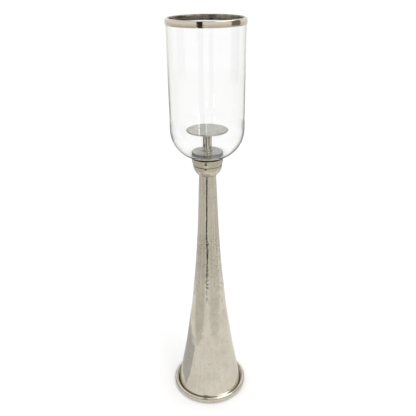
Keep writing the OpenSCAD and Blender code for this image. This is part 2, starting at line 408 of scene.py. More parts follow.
def together(*reliefs):
    """Several kinds of unevenness on one surface."""
    return lambda theta, radius, height: sum(r(theta, radius, height) for r in reliefs)


def sunk(relief, most):
    """The same unevenness, moved inwards so that nothing stands proud of the outline."""
    return lambda theta, radius, height: np.minimum(relief(theta, radius, height), most) - most


# ---------------------------------------------------------------- shading


def put(tree, socket, value):
    """Sets a socket, or links it where value is another node's output."""
    if isinstance(value, bpy.types.NodeSocket):
        tree.links.new(value, socket)
    elif isinstance(value, tuple) and len(value) == 3 and socket.type == "RGBA":
        socket.default_value = (*value, 1)
    else:
        socket.default_value = value


def add_node(tree, kind, *values, **traits):
    """Adds a shader node with its traits set, and its first inputs set or linked in order."""
    node = tree.nodes.new("ShaderNode" + kind)
    for name, value in traits.items():
        setattr(node, name, value)
    for socket, value in zip(node.inputs, values):
        put(tree, socket, value)
    return node


class Shade:
    """A material's node tree, built up a node at a time."""

    def __init__(self, name):
        self.material = bpy.data.materials.new(name)
        self.material.use_nodes = True
        self.tree = self.material.node_tree
        self.tree.nodes.clear()
        self.output = self.add("OutputMaterial")
        self.shader = self.add("BsdfPrincipled")
        self.put(self.output.inputs["Surface"], self.shader.outputs["BSDF"])
        self.place = self.add("TexCoord").outputs["Object"]

    def add(self, kind, *values, **traits):
        return add_node(self.tree, kind, *values, **traits)

    def put(self, socket, value):
        put(self.tree, socket, value)

    def surface(self, **values):
        """Sets the shader's own sockets, such as metallic=1 or base_color=socket."""
        for name, value in values.items():
            label = name.replace("_", " ").title().replace("Ior", "IOR")
            self.put(self.shader.inputs[label], value)
        return self.material

    def math(self, operation, *values):
        return self.add("Math", *values, operation=operation).outputs[0]

    def plus(self, a, b):
        return self.math("ADD", a, b)

    def minus(self, a, b):
        return self.math("SUBTRACT", a, b)

    def times(self, a, b):
        return self.math("MULTIPLY", a, b)

    def larger(self, a, b):
        return self.math("MAXIMUM", a, b)

    def away(self, value, centre):
        """How far value is from centre, either way."""
        return self.math("ABSOLUTE", self.minus(value, centre))

    def parts(self):
        """The place's X, Y, Z and its distance from the axis."""
        x, y, z = self.add("SeparateXYZ", self.place).outputs
        return x, y, z, self.math("SQRT", self.plus(self.times(x, x), self.times(y, y)))

    def spread(self, around, detail, measure):
        """A place with around as its detail round the axis, and detail along measure."""
        x, y, z, radius = self.parts()
        safe = self.larger(radius, 1 * MM)
        round_x, round_y = (self.times(self.math("DIVIDE", axis, safe), around) for axis in (x, y))
        third = self.times(measure(z, radius), detail)
        return self.add("CombineXYZ", round_x, round_y, third).outputs[0]

    def round_place(self, around, along_z):
        """A place on a turned surface: around is the detail round it, along_z that up it."""
        return self.spread(around, along_z, lambda z, radius: z)

    def ring_place(self, rings, around):
        """A place on a faced disc: rings is the detail from the middle outwards."""
        return self.spread(around, rings, lambda z, radius: self.plus(radius, z))

    def noise(self, scale, detail=3.0, roughness=0.55, place=None, distortion=0.0):
        node = self.add("TexNoise", place or self.place)
        node.inputs["Scale"].default_value = scale
        node.inputs["Detail"].default_value = detail
        node.inputs["Roughness"].default_value = roughness
        node.inputs["Distortion"].default_value = distortion
        return node.outputs["Fac"]

    def cells(self, scale):
        """Distance to the nearest of many scattered points."""
        node = self.add("TexVoronoi", self.place)
        node.inputs["Scale"].default_value = scale
        return node.outputs["Distance"]

    def span(self, value, low, high, to_low=0.0, to_high=1.0):
        """Carries value from low..high to to_low..to_high, and holds it there."""
        numbers = (low, high, to_low, to_high)
        return self.add("MapRange", value, *numbers, interpolation_type="SMOOTHSTEP").outputs[0]

    def blend(self, share, a, b):
        """One colour over another: share is how much of b shows."""
        node = self.add("Mix", share, data_type="RGBA")
        self.put(node.inputs[6], a)
        self.put(node.inputs[7], b)
        return node.outputs[2]

    def bump(self, height, distance, strength=1.0, below=None):
        """The normal of a raised surface, over another one where below is given."""
        node = self.add("Bump", strength, distance)
        self.put(node.inputs["Height"], height)
        if below is not None:
            self.put(node.inputs["Normal"], below)
        return node.outputs["Normal"]


def darker(colour, share):
    """A colour with every part times share, so a share over 1 makes it lighter."""
    return tuple(c * share for c in colour)


def cast_nickel(
    name, colour, dull, smooth=0.1, rough=0.2,
    pit_zone=None, shaded_seams=(), groove=0.0, shaded_spots=(), shaded_arcs=(),
):
    """Polished nickel on a sand casting: mottled, streaked by the mop, with casting pits.

    pit_zone is the height range where the pits lie thickest. Painted shade darkens the metal at
    the shaded_seams, given as (height, reach) pairs, within the radius groove, in the
    shaded_spots, which are given as (degrees, radius, height, reach), and in the shaded_arcs,
    given as (degrees, spread, height, reach).
    """
    shade = Shade(name)
    x, y, z, radius = shade.parts()
    mottle = shade.noise(24, detail=4, roughness=0.6)
    clouds = shade.noise(7, detail=2)
    streaks = shade.noise(1, detail=4, roughness=0.65, place=shade.round_place(15, 5))
    hair = shade.noise(1, detail=2, place=shade.round_place(9, 1400))
    fine = shade.noise(170, detail=3, roughness=0.6)
    grains = shade.cells(270)
    holes = shade.span(grains, 0.17, 0.34, 1, 0)
    scatter = shade.span(shade.noise(38, detail=2), 0.60, 0.72)
    ripple = shade.span(mottle, 0.4, 0.7, 0.15, 0.5)
    if pit_zone:
        low, high = pit_zone
        rise = shade.span(z, low - 0.04, low + 0.03)
        fall = shade.span(z, high - 0.03, high + 0.05, 1, 0)
        inside = shade.times(rise, fall)
        thick = shade.span(shade.noise(34, detail=2), 0.42, 0.54)
        scatter = shade.larger(scatter, shade.times(inside, thick))
        ripple = shade.larger(ripple, inside)
    pits = shade.times(holes, scatter)
    tone = shade.blend(shade.span(mottle, 0.36, 0.74, 0, 0.42), colour, dull)
    slender = shade.span(radius, 26 * MM, 48 * MM, 1, 0.2)
    worn_lines = shade.times(shade.span(streaks, 0.42, 0.62, 0, 0.62), slender)
    tone = shade.blend(shade.span(fine, 0.45, 0.7, 0, 0.3), tone, darker(dull, 0.95))
    tone = shade.blend(worn_lines, tone, darker(dull, 0.9))
    tone = shade.blend(shade.span(clouds, 0.45, 0.7, 0, 0.30), tone, darker(colour, 1.22))
    tone = shade.blend(shade.times(pits, 0.95), tone, darker(dull, 0.2))
    worn = shade.plus(shade.times(streaks, 0.6), shade.times(mottle, 0.4))
    gloss = shade.span(worn, 0.35, 0.68, smooth, rough)
    gloss = shade.plus(gloss, shade.times(pits, 0.25))
    # Painted shade: darker within the radius groove, along the seams, in the arcs and in the
    # spots.
    painted_shade = shade.span(radius, groove, groove + 1 * MM, 1, 0) if groove else 0.0
    for height, reach in shaded_seams:
        painted_shade = shade.larger(painted_shade, shade.span(shade.away(z, height), 0.35 * reach, reach, 1, 0))
    for degrees, spread, height, reach in shaded_arcs:
        angle = math.radians(degrees)
        ahead = shade.minus(shade.times(x, math.sin(angle)), shade.times(y, math.cos(angle)))
        ahead = shade.math("DIVIDE", ahead, radius)
        edges = [math.cos(math.radians(spread * share)) for share in (1, 0.3)]
        away = shade.plus(shade.away(z, height), shade.span(mottle, 0.4, 0.7, 0, 0.5 * reach))
        arc_shade = shade.times(shade.span(away, 0.5 * reach, reach, 1, 0), shade.span(ahead, *edges))
        painted_shade = shade.larger(painted_shade, arc_shade)
    for degrees, ring, height, reach in shaded_spots:
        angle = math.radians(degrees)
        centre = (ring * math.sin(angle), -ring * math.cos(angle), height)
        away = shade.add("VectorMath", shade.place, centre, operation="DISTANCE").outputs["Value"]
        spot = shade.span(away, 0.3 * reach, reach, 0.75, 0)
        painted_shade = shade.larger(painted_shade, shade.times(spot, shade.span(fine, 0.36, 0.52)))
    # The mottled painted shade darkens the tone and roughens the surface.
    if shaded_seams or groove:
        painted_shade = shade.times(painted_shade, shade.span(mottle, 0.3, 0.5, 0.7, 0.97))
        tone = shade.blend(painted_shade, tone, darker(dull, 0.12))
        gloss = shade.plus(gloss, shade.times(painted_shade, 0.3))
    normal = shade.bump(shade.noise(90, detail=3), 0.05 * MM, 0.5)
    normal = shade.bump(shade.times(fine, ripple), 0.09 * MM, 0.7, normal)
    if pit_zone:
        growing = shade.times(inside, shade.span(z, low, high, 1, 0.25))
        orange_peel = shade.times(shade.noise(250, detail=1), growing)
        normal = shade.bump(orange_peel, 0.24 * MM, 0.9, normal)
    normal = shade.bump(hair, 0.01 * MM, 0.35, normal)
    normal = shade.bump(shade.minus(1.0, pits), 0.35 * MM, 0.8, normal)
    return shade.surface(base_color=tone, metallic=1.0, roughness=gloss, normal=normal)


def sheet_nickel(name, colour, dull, smooth=0.07, rough=0.16, shaded_within=None, joints=()):
    """Bright nickel on rolled sheet or tube: fine lines round it and a few dull patches.

    Within the radius shaded_within its inner face is darkened as painted shade, and at the heights
    in joints painted shade darkens it where it meets another part.
    """
    shade = Shade(name)
    z, radius = shade.parts()[2:]
    lines = shade.noise(1, detail=3, place=shade.round_place(5, 900))
    patches = shade.noise(32, detail=4, roughness=0.62)
    specks = shade.span(shade.cells(300), 0.07, 0.13, 1, 0)
    few = shade.times(specks, shade.span(shade.noise(45), 0.6, 0.68))
    tone = shade.blend(shade.span(patches, 0.4, 0.75, 0, 0.4), colour, dull)
    tone = shade.blend(shade.times(few, 0.7), tone, darker(dull, 0.4))
    gloss = shade.span(patches, 0.35, 0.7, smooth, rough)
    # Painted shade on the inner face.
    if shaded_within:
        inner_shade = shade.span(radius, shaded_within - 1 * MM, shaded_within + 1 * MM, 1, 0)
        uneven = shade.noise(1, detail=3, place=shade.round_place(6, 60))
        inner_shade = shade.times(inner_shade, shade.span(uneven, 0.3, 0.65, 0.72, 1))
        tone = shade.blend(inner_shade, tone, (0.15, 0.14, 0.10))
        gloss = shade.plus(gloss, shade.times(inner_shade, 0.14))
    # Painted shade at the joints.
    for height in joints:
        away = shade.plus(shade.away(z, height), shade.times(patches, 2 * MM))
        joint_shade = shade.span(away, 1.2 * MM, 4 * MM, 0.9, 0)
        tone = shade.blend(joint_shade, tone, darker(dull, 0.2))
    normal = shade.bump(lines, 0.012 * MM, 0.4)
    normal = shade.bump(shade.noise(120, detail=2), 0.03 * MM, 0.4, normal)
    return shade.surface(base_color=tone, metallic=1.0, roughness=gloss, normal=normal)


def satin_metal(
    name, colour, dull, painted_side_below,
    rough=0.34, dark_near=0.0, rim_line=1.0, edge=(0.06, 0.06, 0.055),
):
    """Metal faced in a lathe and left satin: fine rings, faint smudges and small nicks.

    Below the height painted_side_below the side is painted the colour edge: painted shade on the
    clamp disc, a painted highlight on the candle plate. Near the axis, within dark_near, it
    darkens towards edge, and beyond the radius rim_line a darker line runs round it.
    """
    shade = Shade(name)
    z, radius = shade.parts()[2:]
    rings = shade.noise(1, detail=4, roughness=0.7, place=shade.ring_place(2600, 1.5))
    wide = shade.noise(1, detail=2, place=shade.ring_place(300, 2.5))
    smudge = shade.noise(55, detail=4, roughness=0.6)
    tone = shade.blend(shade.span(smudge, 0.38, 0.72, 0, 0.6), colour, dull)
    tone = shade.blend(shade.span(rings, 0.4, 0.65, 0, 0.28), tone, darker(colour, 1.2))
    tone = shade.blend(shade.span(wide, 0.4, 0.62, 0, 0.35), tone, dull)
    gloss = shade.span(wide, 0.3, 0.7, rough - 0.08, rough + 0.06)
    gloss = shade.plus(gloss, shade.span(smudge, 0.4, 0.7, 0, 0.1))
    line = shade.span(radius, rim_line - 0.6 * MM, rim_line)
    line = shade.times(shade.span(smudge, 0.35, 0.6, 0.2, 0.75), line)
    tone = shade.blend(line, tone, darker(dull, 0.35))
    # The side below painted_side_below takes edge: painted shade on the disc, a painted highlight
    # on the plate.
    side = shade.span(z, painted_side_below - 0.4 * MM, painted_side_below + 0.3 * MM, 0.95, 0)
    near = shade.span(radius, dark_near, dark_near + 6 * MM, 0.7, 0)
    near = shade.times(near, shade.span(smudge, 0.35, 0.6, 0.4, 1))
    tone = shade.blend(shade.larger(side, near), tone, edge)
    normal = shade.bump(rings, 0.02 * MM, 0.6)
    nicks = shade.span(shade.cells(160), 0.05, 0.1, 0, 1)
    normal = shade.bump(nicks, 0.08 * MM, 0.5, normal)
    return shade.surface(base_color=tone, metallic=1.0, roughness=gloss, normal=normal)


def zinc_plate(name, colour):
    """Bright zinc on machined steel: soft spangle and drawn lines."""
    shade = Shade(name)
    spangle = shade.cells(260)
    drift = shade.noise(70, detail=3)
    tone = shade.blend(shade.span(spangle, 0.2, 0.8, 0, 0.4), colour, darker(colour, 0.72))
    tone = shade.blend(shade.span(drift, 0.5, 0.75, 0, 0.35), tone, (0.52, 0.47, 0.33))
    gloss = shade.span(drift, 0.3, 0.7, 0.26, 0.42)
    normal = shade.bump(shade.noise(500, detail=2), 0.02 * MM, 0.5)
    return shade.surface(base_color=tone, metallic=1.0, roughness=gloss, normal=normal)


def primed_iron(name):
    """Sand-cast iron under a thin coat of black primer."""
    shade = Shade(name)
    sand = shade.noise(380, detail=4, roughness=0.7)
    rust = shade.span(shade.noise(26, detail=4, roughness=0.65), 0.62, 0.74)
    tone = shade.blend(shade.span(sand, 0.35, 0.7), (0.018, 0.018, 0.019), (0.05, 0.05, 0.052))
    tone = shade.blend(shade.times(rust, 0.6), tone, (0.12, 0.045, 0.018))
    gloss = shade.span(sand, 0.3, 0.7, 0.5, 0.72)
    normal = shade.bump(sand, 0.25 * MM, 0.9)
    return shade.surface(base_color=tone, metallic=0.0, roughness=gloss, normal=normal)


def black_rubber(name, colour):
    """Moulded rubber with a fine skin, dusted grey where it is handled."""
    shade = Shade(name)
    skin = shade.noise(900, detail=3)
    dust = shade.span(shade.noise(60, detail=4, roughness=0.65), 0.5, 0.72, 0, 0.5)
    tone = shade.blend(dust, colour, (0.06, 0.058, 0.053))
    normal = shade.bump(skin, 0.03 * MM, 0.7)
    gloss = shade.span(skin, 0.3, 0.7, 0.45, 0.62)
    return shade.surface(base_color=tone, roughness=gloss, normal=normal)


def wool_felt(name, colour):
    """Pressed wool felt: matted fibres in two tones."""
    shade = Shade(name)
    fibres = shade.noise(1400, detail=4, roughness=0.7, distortion=1.5)
    clumps = shade.noise(160, detail=3)
    tone = shade.blend(shade.span(fibres, 0.35, 0.7), colour, darker(colour, 2.6))
    gloss = shade.span(clumps, 0.3, 0.7, 0.85, 1.0)
    normal = shade.bump(fibres, 0.35 * MM, 0.9)
    normal = shade.bump(clumps, 0.3 * MM, 0.6, normal)
    return shade.surface(base_color=tone, roughness=gloss, sheen_weight=0.4, normal=normal)


def blown_glass(name, colour, thick_and_shaded_below):
    """Clear glass with the faint draw lines of the blowing, deeper in tone below a height."""
    shade = Shade(name)
    z = shade.parts()[2]
    # Deeper tone low down: the tint of the thicker blown bottom, with painted shade where the
    # glass sits on the collar.
    deep = shade.span(z, thick_and_shaded_below - 9 * MM, thick_and_shaded_below, 1, 0)
    draw = shade.noise(1, detail=2, place=shade.round_place(5, 9))
    cords = shade.noise(1, detail=2, place=shade.round_place(30, 3))
    normal = shade.bump(draw, 0.25 * MM, 0.35)
    normal = shade.bump(cords, 0.05 * MM, 0.25, normal)
    tone = shade.blend(deep, colour, (0.68, 0.70, 0.69))
    body = shade.add("VolumeAbsorption", (0.90, 0.93, 0.92), GLASS_DENSITY)
    shade.put(shade.output.inputs["Volume"], body.outputs[0])
    return shade.surface(
        base_color=tone, roughness=0.0, ior=1.5, transmission_weight=1.0, normal=normal
    )


# ---------------------------------------------------------------- pieces


def shape():
    return bpy.context.scene.lantern_shape


def finish(name):
    """One of the finishes' colours."""
    return tuple(getattr(bpy.context.scene.lantern_finish, name))


def body_of(node):
    """The CAD body that a node belongs to."""
    bodies = frame["record"]["behaviour"]["bodies"]
    return next(body for body, members in bodies.items() if node in members)


def dress(piece, node, material):
    """Gives a turned piece its material, and puts it in its CAD node's place."""
    piece.data.materials.append(material)
    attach(piece, body_of(node))
    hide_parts(node)


def keep(node, material, bevel):
    """Keeps a CAD node as it is, with a better material and its edges broken."""
    piece = frame["nodes"][node]
    piece.data.materials.clear()
    piece.data.materials.append(material)
    weld = piece.modifiers.new("weld", "WELD")
    weld.merge_threshold = RING_GAP
    edges = piece.modifiers.new("edges", "BEVEL")
    edges.width = bevel
    edges.segments = 2
    edges.limit_method = "ANGLE"


def turn_node(node, name, material, corner, step, relief=flat_relief, segments=None):
    """Turns a CAD node's own outline again, finer, with rounded corners and unevenness.

    step is the distance between points, or a function that gives it at (radius, height).
    """
    outline, closed = section(node)
    drawn = softened(outline, closed, corner, step if callable(step) else even(step))
    piece = turned(name, drawn, closed, segments or shape().segments, relief)
    dress(piece, node, material)
    return piece


class LANTERN_OT_foot(bpy.types.Operator):
    """Builds the ring foot and the felt pad under it"""

    bl_idname = "lantern.foot"
    bl_label = "Ring foot and felt"

    def execute(self, context):
        made = shape()
        low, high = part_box("foot_ring")
        outline = section("foot_ring")[0]
        crest_r, crest_z = outline[np.argmax(outline[:, 1])]
        under_bead = crest_z - 3.1 * MM
        # The seam under the bead, the groove by the column and the two spots at the front of the
        # groove are painted shade.
        nickel = cast_nickel(
            "foot_nickel",
            finish("nickel"),
            finish("nickel_dark"),
            shaded_seams=[(under_bead, 0.55 * MM)],
            groove=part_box("column")[1].x + 0.4 * MM,
            shaded_spots=[
                (-7, crest_r - 2.5 * MM, crest_z, 7 * MM),
                (-16, crest_r - 3 * MM, crest_z, 6 * MM),
            ],
        )
        uneven = together(
            waves(11, made.wave * 0.6, 7, 1),
            dents(12, made.dent * 0.8, 40, low.z, high.z, (2 * MM, 6 * MM)),
        )
        turn_node("foot_ring", "ring_foot", nickel, 0.5 * MM, 0.8 * MM, sunk(uneven, made.wave))
        felt = wool_felt("pad_felt", finish("felt"))
        fuzz = sunk(waves(13, 0.15 * MM, 40, 1, count=30), 0.3 * MM)

        def edge_only(theta, radius, height):
            return fuzz(theta, radius, height) * (radius > high.x * 0.9)

        turn_node("floor_pad", "felt_pad", felt, 0.3 * MM, 4 * MM, edge_only)
        return {"FINISHED"}


class LANTERN_OT_column(bpy.types.Operator):
    """Builds the flared column casting"""

    bl_idname = "lantern.column"
    bl_label = "Column"

    def execute(self, context):
        made = shape()
        low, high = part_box("column")
        tall = high.z - low.z
        pitted = (low.z + 0.46 * tall, low.z + 0.77 * tall)
        # Painted shade at the column's foot and top, in an arc round the front of its foot and in
        # two spots on its flare.
        nickel = cast_nickel(
            "column_nickel",
            finish("nickel"),
            finish("nickel_dark"),
            smooth=0.09,
            rough=0.18,
            pit_zone=pitted,
            shaded_seams=[(low.z, 2.4 * MM), (high.z, 1 * MM)],
            shaded_arcs=[(-14, 40, low.z, 5 * MM)],
            shaded_spots=[(36, 87 * MM, 19 * MM, 2.5 * MM), (41, 88 * MM, 17 * MM, 3 * MM)],
        )
        outline = section("column")[0]
        outside = outline[: np.argmax(outline[:, 1]) + 1]

        def step(radius, height):
            if radius < np.interp(height, outside[:, 1], outside[:, 0]) - 2 * MM:
                return 12 * MM
            return 1.4 * MM if pitted[0] < height < pitted[1] else 3 * MM

        uneven = together(
            waves(21, made.wave, 4, 9),
            waves(22, made.wave * 0.10, 16, 60, count=26),
            dents(23, made.dent, 240, low.z, high.z, (2.5 * MM, 9 * MM)),
            dents(24, made.dent * 1.1, 1900, *pitted, (1.0 * MM, 2.4 * MM)),
        )
        turn_node("column", "flared_column", nickel, 0.4 * MM, step, uneven, 240)
        return {"FINISHED"}


class LANTERN_OT_collar(bpy.types.Operator):
    """Builds the collar's cast bowl and its turned ring"""

    bl_idname = "lantern.collar"
    bl_label = "Collar"

    def execute(self, context):
        made = shape()
        low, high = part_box("collar_bowl")
        dull = finish("nickel_dark")
        # Painted shade along the joint between the bowl and the ring.
        seam = [(high.z, 0.7 * MM)]
        brassy = tuple(part * share for part, share in zip(finish("nickel"), (0.93, 0.915, 0.86)))
        bowl = cast_nickel("bowl_nickel", brassy, dull, shaded_seams=seam)
        uneven = together(
            waves(31, made.wave * 1.2, 6, 24),
            dents(32, made.dent * 0.7, 40, low.z, high.z, (1.5 * MM, 4 * MM)),
        )
        turn_node("collar_bowl", "collar_bowl_casting", bowl, 0.5 * MM, 0.9 * MM, uneven)
        # Painted shadow on the ring's lip under the glass.
        seam.append((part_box("collar_ring")[1].z, 1.9 * MM))
        ring = cast_nickel("collar_ring_nickel", darker(brassy, 0.92), dull, shaded_seams=seam)
        uneven = waves(33, made.wave * 0.7, 7, 20)
        turn_node("collar_ring", "collar_ring_turned", ring, 0.35 * MM, 0.8 * MM, uneven)
        return {"FINISHED"}


class LANTERN_OT_fasteners(bpy.types.Operator):
    """Dresses the tie rod, its nuts and washers, and the ballast inside the foot"""

    bl_idname = "lantern.fasteners"
    bl_label = "Tie rod, nuts and ballast"

    def execute(self, context):
        pitch = shape().thread_pitch
        zinc = zinc_plate("fastener_zinc", finish("zinc"))
        keep("base_weight", primed_iron("ballast_iron"), 0.6 * MM)
        for node in ("rod_nut", "rod_lock_washer", "rod_washer", "collar_washer", "coupling_nut"):
            keep(node, zinc, 0.15 * MM)
        low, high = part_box("tie_rod")
        reach = 45 * MM
        ends = [(low.z, low.z + reach), (high.z - reach, high.z)]

        def step(radius, height):
            fine = any(a <= height <= b for a, b in ends)
            return pitch / 8 if fine else 6 * MM

        cut = thread(pitch, high.x, ends)
        turn_node("tie_rod", "threaded_tie_rod", zinc, 0.2 * MM, step, cut, 32)
        return {"FINISHED"}


class LANTERN_OT_glass(bpy.types.Operator):
    """Builds the glass shade"""

    bl_idname = "lantern.glass"
    bl_label = "Glass shade"

    def execute(self, context):
        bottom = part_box("glass_shade")[0].z
        # The glass is deeper in tone below 15 mm over its bottom: thicker glass and painted shade.
        clear = blown_glass("shade_glass", finish("glass"), bottom + 15 * MM)
        uneven = waves(41, shape().glass_wave, 3, 7, count=10)
        shade = turn_node("glass_shade", "clear_shade", clear, 0.9 * MM, 2.5 * MM, uneven)
        shade.visible_shadow = False
        return {"FINISHED"}


class LANTERN_OT_rim(bpy.types.Operator):
    """Builds the rolled rim band and the seal under it"""

    bl_idname = "lantern.rim"
    bl_label = "Rim band and seal"

    def execute(self, context):
        wave = shape().wave
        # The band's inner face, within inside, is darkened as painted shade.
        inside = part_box("rim_band")[1].x - 4.5 * MM
        bright = sheet_nickel(
            "rim_nickel", finish("rim_nickel"), finish("nickel_dark"), shaded_within=inside
        )
        uneven = together(
            waves(51, wave * 0.5, 9, 1, count=18), waves(52, wave * 0.15, 70, 1, count=40)
        )
        seam_angle = math.radians(118)
        seam_half = 3 * MM

        def seam(theta, radius, height):
            across = (np.mod(theta - seam_angle + math.pi, TURN) - math.pi) * radius
            lap = np.exp(-((across / seam_half) ** 4)) * 0.12 * MM
            groove = np.exp(-(((across - seam_half) / (0.5 * MM)) ** 2)) * 0.25 * MM
            return lap - groove

        relief = sunk(together(uneven, seam), wave)
        turn_node("rim_band", "rim_band_rolled", bright, 0.3 * MM, 0.5 * MM, relief)
        rubber = black_rubber("seal_rubber", finish("rubber"))
        turn_node("rim_seal", "rim_seal_bead", rubber, 0.3 * MM, 1 * MM)
        return {"FINISHED"}


class LANTERN_OT_gaskets(bpy.types.Operator):
    """Builds the two rubber gaskets that the glass is clamped between"""

    bl_idname = "lantern.gaskets"
    bl_label = "Gaskets"

    def execute(self, context):
        rubber = black_rubber("gasket_rubber", finish("rubber"))
        turn_node("seat_gasket", "seat_gasket_moulded", rubber, 0.4 * MM, 0.8 * MM)
        turn_node("clamp_gasket", "clamp_gasket_moulded", rubber, 0.6 * MM, 0.8 * MM)
        return {"FINISHED"}


class LANTERN_OT_clamp_disc(bpy.types.Operator):
    """Builds the disc that holds the glass down"""

    bl_idname = "lantern.clamp_disc"
    bl_label = "Clamp disc"

    def execute(self, context):
        wave = shape().wave
        # Painted shade: the disc's satin is the plate's made darker, and its side is painted near
        # black.
        satin = darker(finish("satin"), 0.80)
        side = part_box("clamp_disc")[1].z - 0.5 * MM
        metal = satin_metal(
            "disc_satin", satin, darker(satin, 0.62), side, rough=0.3, dark_near=10 * MM
        )
        uneven = sunk(waves(61, wave * 0.25, 6, 5), wave * 0.5)
        turn_node("clamp_disc", "clamp_disc_turned", metal, 0.3 * MM, 0.8 * MM, uneven)
        return {"FINISHED"}


class LANTERN_OT_candle_holder(bpy.types.Operator):
    """Builds the candle plate, its stem, the stem's insert and the stud"""

    bl_idname = "lantern.candle_holder"
    bl_label = "Candle holder"

    def execute(self, context):
        pitch = shape().thread_pitch
        satin = finish("satin")
        low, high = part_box("candle_plate")
        # The plate's side takes the light edge colour as a painted highlight.
        metal = satin_metal(
            "plate_satin",
            satin,
            darker(satin, 0.74),
            high.z - 0.9 * MM,
            rim_line=high.x - 1.2 * MM,
            edge=(0.68, 0.61, 0.47),
        )
        groove_at = high.x - 2.6 * MM

        def groove(theta, radius, height):
            ring = np.exp(-(((radius - groove_at) / (0.45 * MM)) ** 2)) * 0.22 * MM
            return -ring * (height > high.z - 0.5 * MM) + 0 * theta

        relief = together(groove, sunk(waves(71, 0.05 * MM, 3, 3), 0.1 * MM))
        turn_node("candle_plate", "candle_plate_turned", metal, 0.3 * MM, 0.9 * MM, relief)
        bright = darker(finish("nickel"), 0.95)
        dull = finish("nickel_dark")
        # Painted shade darkens the top of the stem under the plate.
        tube = sheet_nickel("stem_nickel", bright, dull, 0.05, 0.11, joints=[low.z])
        uneven = waves(72, 0.05 * MM, 4, 30)
        turn_node("stem_tube", "stem_tube_drawn", tube, 0.3 * MM, 1 * MM, uneven, 96)
        zinc = zinc_plate("stud_zinc", finish("zinc"))
        turn_node("stem_insert", "stem_insert_bush", zinc, 0.3 * MM, 1 * MM, segments=64)
        low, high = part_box("holder_stud")
        cut = thread(pitch, high.x, [(low.z, high.z)])
        turn_node("holder_stud", "threaded_stud", zinc, 0.2 * MM, pitch / 10, cut, 48)
        return {"FINISHED"}


# ---------------------------------------------------------------- stage


def glossy_only(tree, under_glass=None):
    """A socket that is 1 once light has been mirrored by metal or glass, and 0 before.

    under_glass keeps it to the mirrors inside the shade, or to those outside it.
    """
    path = add_node(tree, "LightPath").outputs

    def math_node(operation, a, b):
        return add_node(tree, "Math", a, b, operation=operation).outputs[0]

    mirrored = math_node("GREATER_THAN", path["Glossy Depth"], 0.5)
    if under_glass is None:
        return mirrored
    test = "GREATER_THAN" if under_glass else "LESS_THAN"
    return math_node("MULTIPLY", mirrored, math_node(test, path["Transmission Depth"], 0.5))


def mirror_card(name, azimuths, ranges, heights, glow, tint=WHITE, under_glass=None):
    """A studio card that only shows in mirrors, so that the metal has something to reflect.

    azimuths are degrees to the right of the camera's side, ranges the nearest and farthest
    distance from the axis, and heights the nearest and farthest edge's height. A card that
    lies on the floor and one that stands up are both made so. The nearest distance may be a
    list, spread evenly over the azimuths.
    """
    steps = 24
    near = np.atleast_1d(ranges[0])
    near = np.interp(np.linspace(0, 1, steps + 1), np.linspace(0, 1, len(near)), near)
    verts = []
    for i in range(steps + 1):
        azimuth = math.radians(azimuths[0] + (azimuths[1] - azimuths[0]) * i / steps)
        for reach, height in zip((near[i], ranges[1]), heights):
            verts.append((reach * math.sin(azimuth), -reach * math.cos(azimuth), height))
    faces = [(2 * i, 2 * i + 1, 2 * i + 3, 2 * i + 2) for i in range(steps)]
    card = mesh_object(name, verts, faces)
    material = bpy.data.materials.new(name)
    material.use_nodes = True
    tree = material.node_tree
    tree.nodes.clear()
    lit = add_node(tree, "Emission", tint, glow).outputs[0]
    clear = add_node(tree, "BsdfTransparent").outputs[0]
    mix = add_node(tree, "MixShader", glossy_only(tree, under_glass), clear, lit)
    add_node(tree, "OutputMaterial", mix.outputs[0])
    material.cycles.emission_sampling = "NONE"
    card.data.materials.append(material)
    for light in ("camera", "diffuse", "shadow", "volume_scatter"):
        setattr(card, f"visible_{light}", False)


# The edges of the bright floor, as distances from the axis spread over a card's azimuths.
LEFT_NEAR = (0.90, 0.72, 0.61, 0.54, 0.47, 0.425, 0.407, 0.43, 0.48, 0.62)
RIGHT_NEAR = (0.67, 0.58, 0.552, 0.545, 0.55, 0.60, 0.70, 0.85, 0.95, 1.0, 1.05)
ON_FLOOR = (0.002, 0.002)

# What the metal mirrors, as mirror_card takes it: name, azimuths, ranges, heights, glow, tint
# and whether it is kept to the mirrors under the glass.
CARDS = (
    ("gap_card", (-20.3, -5.5), (0.87, 0.87), (0, 0.6), 0.015),
    ("high_gap_card", (-23.7, -7.8), (0.87, 0.87), (0.6, 2.4), 0.03, (1, 0.75, 0.5)),
    ("front_floor_card", (-30, 2), (0.83, 5), ON_FLOOR, 0.76, WARM),
    ("right_floor_card", (2, 126), (RIGHT_NEAR, 5), ON_FLOOR, 0.70, WARM),
    ("left_floor_card", (-119, -30), (LEFT_NEAR, 5), ON_FLOOR, 0.64, WARM),
    ("left_near_card", (-165, -70), (0.13, 0.38), ON_FLOOR, 0.52),
    ("stem_gap_card", (-37, -6), (0.86, 0.86), (0.36, 0.50), 0.01, WARM, True),
    ("stem_left_card", (-160, -100), (1.0, 1.0), (0.30, 0.45), 0.22, WARM, True),
    ("stem_right_card", (22, 68), (1.0, 1.0), (0.37, 0.45), 0.26, WARM, True),
    ("disc_left_card", (-120, -60), (1.0, 1.0), (0.28, 0.37), 0.04, WHITE, True),
    ("disc_right_card", (40, 120), (1.0, 1.0), (0.28, 0.365), 0.04, WHITE, True),
    ("side_card", (73, 107), (1.9, 1.9), (0.5, 1.8), 0.21, (1, 0.93, 0.8)),
    ("back_left_card", (-160, -118), (0.59, 2.8), (0.003, 0.004), 0.65),
    ("back_right_card", (118, 160), (0.8, 2.8), (0.003, 0.004), 0.65),
    ("back_card", (158, 202), (0.5, 2.8), (0.004, 0.005), 0.14),
    ("softbox_card", (52, 124), (0.75, 1.15), (2.2, 2.1), 9.0, WHITE, False),
    ("left_strip_card", (-24.5, -22.3), (0.86, 0.86), (0.53, 0.60), 8.0),
    ("middle_strip_card", (-2.5, -0.5), (0.86, 0.86), (0.50, 0.57), 4.0),
)


